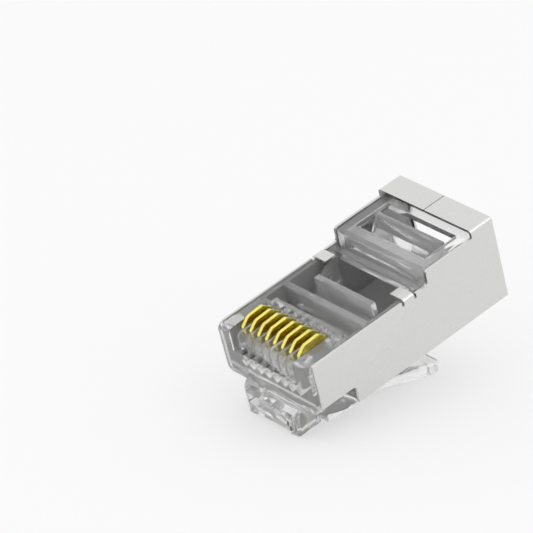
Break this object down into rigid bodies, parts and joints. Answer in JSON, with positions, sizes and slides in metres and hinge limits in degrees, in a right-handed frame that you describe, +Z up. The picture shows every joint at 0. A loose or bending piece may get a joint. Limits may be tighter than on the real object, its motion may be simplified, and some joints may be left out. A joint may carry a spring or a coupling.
{
  "type": "rj45 modular plug",
  "caption": "Shielded modular plug with a clear moulded body, gold contact blades, a folded metal shell and a sprung latch lever.",
  "frame": {"origin": "on the resting surface, under the middle of the object's box, as the plug lies on its latch lever", "axes": "+X from the nose to the cable end, +Y across the plug, +Z up with the contacts on top; the plug is pitched 15.97 degrees, cable end up"},
  "size_m": [0.0224, 0.0116, 0.0156],
  "materials": {
    "clear_plastic": "clear moulded polycarbonate",
    "nickel_plate": "satin nickel plate",
    "gold_plate": "bright gold plate"
  },
  "bodies": {
    "root": {"housing": "clear_plastic", "shield": "nickel_plate", "contact_1": "gold_plate", "contact_2": "gold_plate", "contact_3": "gold_plate", "contact_4": "gold_plate", "contact_5": "gold_plate", "contact_6": "gold_plate", "contact_7": "gold_plate", "contact_8": "gold_plate"},
    "latch": {"latch": "clear_plastic"}
  },
  "joints": [
    {"name": "latch_hinge", "type": "hinge", "parent": "root", "child": "latch", "pos_m": [-0.0075, 0, 0.0013], "axis": [0, -1, 0], "range_deg": [0, 16], "stiffness_Nm_per_rad": 0.3}
  ]
}
